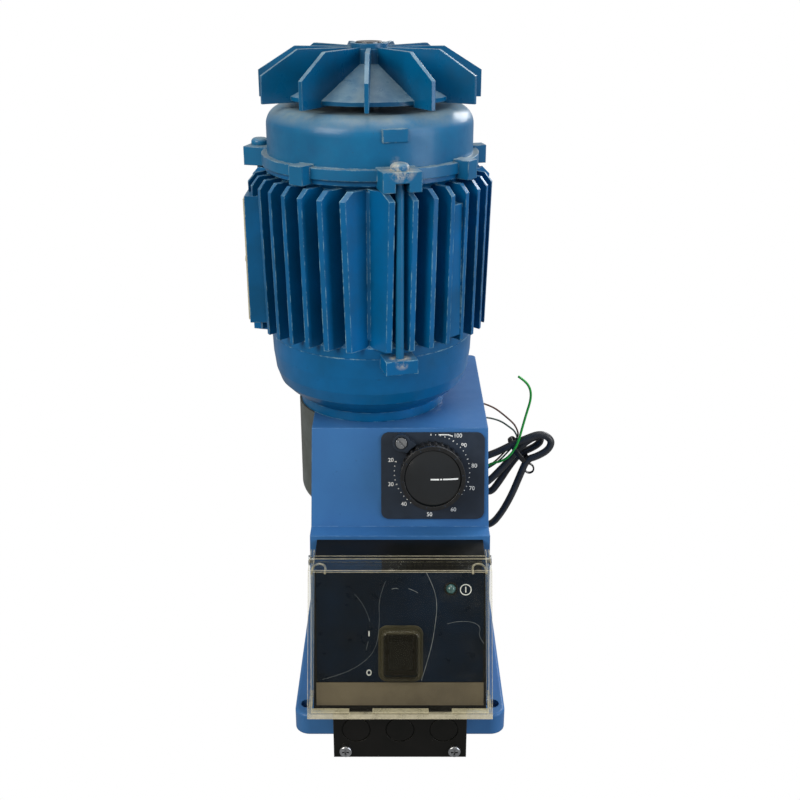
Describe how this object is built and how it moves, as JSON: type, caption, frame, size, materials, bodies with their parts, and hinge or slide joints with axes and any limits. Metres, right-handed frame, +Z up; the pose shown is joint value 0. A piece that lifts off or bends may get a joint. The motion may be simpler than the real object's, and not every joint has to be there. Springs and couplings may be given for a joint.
{
  "type": "diaphragm metering pump",
  "caption": "Motor-driven diaphragm metering pump with ribbed upright motor, stroke knob, hooded control panel, terminal box and rear pump head.",
  "frame": {"origin": "on the underside of the base plate, in the middle of its four fixing holes", "axes": "+Z up along the motor's axis, -Y towards the control panel, +Y towards the pump head, +X to the right as seen from the panel"},
  "size_m": [0.1783, 0.2261, 0.341],
  "materials": {
    "motor_paint": "satin enamel",
    "housing_paint": "satin enamel",
    "barrel_grey": "satin enamel",
    "box_plastic": "matt",
    "film": "gloss film",
    "clear": "clear plastic",
    "lens": "clear lens",
    "knob_plastic": "matt",
    "cap_plastic": "gloss",
    "plate_print": "matt plate",
    "steel": "bright steel",
    "cast": "machined",
    "bronze": "machined bronze",
    "copper": "enamelled wire",
    "aluminium": "die cast",
    "head_plastic": "moulded",
    "valve_plastic": "moulded",
    "rubber": "matt",
    "cream": "bare cream plate",
    "cable": "matt sheath",
    "board": "circuit board",
    "ceramic": "polished ball"
  },
  "bodies": {
    "pump": {"base_plate": "housing_paint", "gear_housing": "housing_paint", "side_barrel": "barrel_grey", "control_box": "box_plastic", "label_film": "film", "terminal_cover": "box_plastic", "terminal_screws": "steel", "terminal_block": "valve_plastic", "hood_pins": "steel", "switch_body": "box_plastic", "switch_boot": "clear", "status_led": "lens", "control_board": "board", "scale_plate": "plate_print", "cross_bearings": "steel", "return_spring": "steel", "guide_bush": "bronze", "diaphragm": "rubber", "backing_plate": "aluminium", "pump_head": "head_plastic", "head_screws": "steel", "suction_valve": "valve_plastic", "suction_union_nut": "head_plastic", "discharge_valve": "valve_plastic", "discharge_union_nut": "head_plastic", "lower_shield": "motor_paint", "stator_frame": "motor_paint", "nameplate": "cream", "stator_core": "cast", "stator_windings": "copper", "lower_bearing": "steel", "upper_bearing": "steel", "shaft_seal": "rubber", "upper_shield": "motor_paint", "tie_rods": "motor_paint", "motor_screws": "steel", "housing_screws": "steel", "cable_gland": "box_plastic", "signal_cable": "cable", "signal_cable_hank": "cable", "cable_tie": "cable"},
    "rotor": {"motor_shaft": "steel", "worm": "steel", "rotor_core": "aluminium", "fan": "motor_paint"},
    "cross_drive": {"cross_shaft": "steel", "worm_wheel": "bronze"},
    "pump_rod": {"push_rod": "steel", "diaphragm_core": "aluminium"},
    "stroke_setting": {"stroke_knob": "knob_plastic", "knob_cap": "cap_plastic", "stroke_spindle": "steel"},
    "clamp": {"clamp_screw": "steel"},
    "hood": {"hood": "clear"},
    "rocker": {"rocker": "cap_plastic"},
    "suction_ball": {"suction_ball": "ceramic"},
    "discharge_ball": {"discharge_ball": "ceramic"}
  },
  "joints": [
    {"name": "rotor_spin", "type": "hinge", "parent": "pump", "child": "rotor", "pos_m": [-0.015, 0, 0.2], "axis": [0, 0, 1], "continuous": true},
    {"name": "cross_shaft_spin", "type": "hinge", "parent": "pump", "child": "cross_drive", "pos_m": [0, -0.031, 0.1], "axis": [1, 0, 0], "continuous": true},
    {"name": "push_rod_slide", "type": "slide", "parent": "pump", "child": "pump_rod", "axis": [0, 1, 0], "range_m": [0, 0.005], "stiffness_N_per_m": 2000, "springref_m": -0.004, "deforming": ["return_spring", "diaphragm"]},
    {"name": "stroke_knob_turn", "type": "hinge", "parent": "pump", "child": "stroke_setting", "pos_m": [0.0164, -0.05128, 0.13598], "axis": [0, -0.9744, 0.225], "range_deg": [-277, 83]},
    {"name": "clamp_screw_turn", "type": "hinge", "parent": "pump", "child": "clamp", "pos_m": [0.0007, -0.04775, 0.15128], "axis": [0, -0.9744, 0.225], "range_deg": [0, 180]},
    {"name": "hood_swing", "type": "hinge", "parent": "pump", "child": "hood", "pos_m": [0, -0.081, 0.101], "axis": [-1, 0, 0], "range_deg": [0, 95]},
    {"name": "rocker_tilt", "type": "hinge", "parent": "pump", "child": "rocker", "pos_m": [0.00035, -0.09512, 0.05642], "axis": [-1, 0, 0], "range_deg": [0, 18]},
    {"name": "suction_ball_lift", "type": "slide", "parent": "pump", "child": "suction_ball", "axis": [0, 0, 1], "range_m": [0, 0.0025]},
    {"name": "discharge_ball_lift", "type": "slide", "parent": "pump", "child": "discharge_ball", "axis": [0, 0, 1], "range_m": [0, 0.0025]}
  ],
  "couplings": [
    {"joint": "cross_shaft_spin", "follows": "rotor_spin", "ratio": -0.045455}
  ]
}
